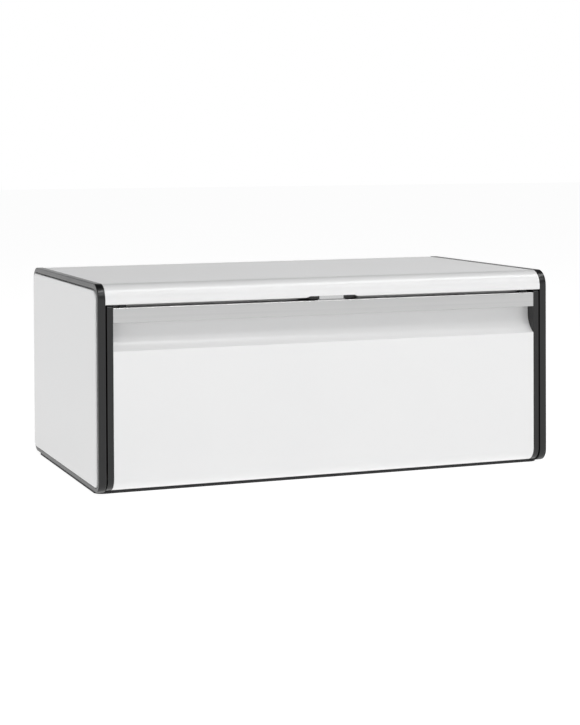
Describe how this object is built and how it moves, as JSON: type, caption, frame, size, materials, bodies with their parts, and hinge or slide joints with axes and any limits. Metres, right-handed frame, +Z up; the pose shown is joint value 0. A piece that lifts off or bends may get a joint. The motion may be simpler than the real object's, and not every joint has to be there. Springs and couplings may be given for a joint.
{
  "type": "bread box",
  "caption": "Flat-topped kitchen bread box in coated sheet metal with black end frames and a fall-open front door with a metal finger grip over a recess.",
  "frame": {"origin": "centre of the base, on the worktop", "axes": "X runs across the box from its left end to its right, -Y out of the front door, +Z up"},
  "size_m": [0.4678, 0.27, 0.1958],
  "materials": {
    "coated_sheet": "smooth satin white powder coat",
    "black_moulding": "fine matt texture",
    "grip_metal": "satin, brushed along its length",
    "foot_rubber": "matt",
    "white_moulding": "satin",
    "zinc_steel": "bright zinc",
    "magnet": "dull ferrite",
    "ivory_moulding": "satin"
  },
  "bodies": {
    "body": {"end_frame_left": "black_moulding", "end_frame_right": "black_moulding", "side_panel_left": "coated_sheet", "side_panel_right": "coated_sheet", "top_shell": "coated_sheet", "base_tray": "black_moulding", "front_foot_strip": "foot_rubber", "rear_foot_strip": "foot_rubber", "hinge_pin_left": "zinc_steel", "hinge_pin_right": "zinc_steel", "hinge_washers": "ivory_moulding", "magnet_housing": "black_moulding", "catch_magnet": "magnet", "pole_plates": "zinc_steel", "frame_screws": "zinc_steel", "tray_screws": "zinc_steel", "catch_screws": "zinc_steel"},
    "door": {"door_buffers": "foot_rubber", "door_panel": "coated_sheet", "grip_strip": "grip_metal", "door_liner": "white_moulding", "door_end_cap_left": "black_moulding", "door_end_cap_right": "black_moulding", "strike_plate": "zinc_steel", "door_screws": "zinc_steel"}
  },
  "joints": [
    {"name": "door_hinge", "type": "hinge", "parent": "body", "child": "door", "pos_m": [0, -0.1212, 0.0172], "axis": [1, 0, 0], "range_deg": [0, 90]}
  ]
}
